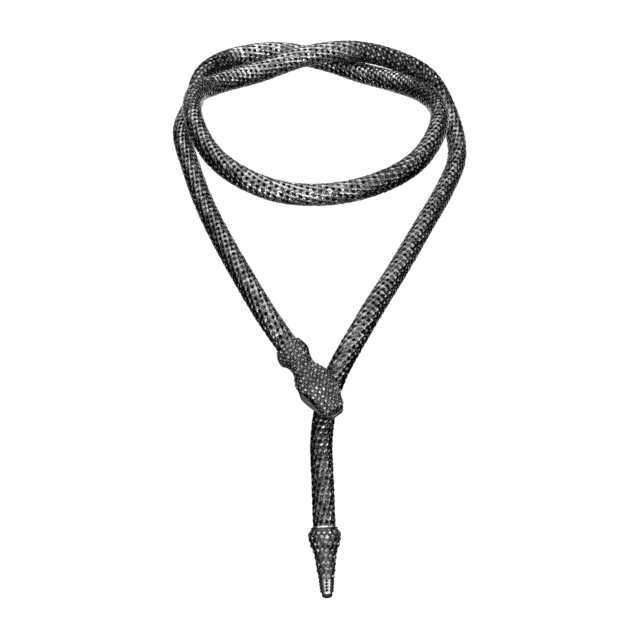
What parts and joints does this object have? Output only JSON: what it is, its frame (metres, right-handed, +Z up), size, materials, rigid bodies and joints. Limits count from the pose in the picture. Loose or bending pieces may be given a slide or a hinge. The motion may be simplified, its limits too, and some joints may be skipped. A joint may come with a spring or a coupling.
{
  "type": "snake necklace",
  "caption": "Long snake of tubular metal mesh worn twice round the neck, with a stone-set head that holds the crossing strand and a stone-set tail cap with a bright tip.",
  "frame": {"origin": "where the strand rests on the nape of the neck, at the inner face of the inner strand", "axes": "+Z up, -Y the way the wearer faces, +X the wearer's left"},
  "size_m": [0.1625, 0.1884, 0.2886],
  "materials": {
    "mesh": "gunmetal-plated mesh of small domed plates, polished on top and dark between",
    "stone_set": "blackened metal closely set with small round smoky stones",
    "dark_metal": "smooth polished gunmetal",
    "bright_metal": "bright polished metal, darkened in its grooves"
  },
  "bodies": {
    "root": {"mesh_body": "mesh", "snake_head": "stone_set", "jaw_plate": "dark_metal", "tail_cap": "stone_set", "cap_rim": "bright_metal", "tail_tip": "bright_metal"}
  },
  "joints": []
}
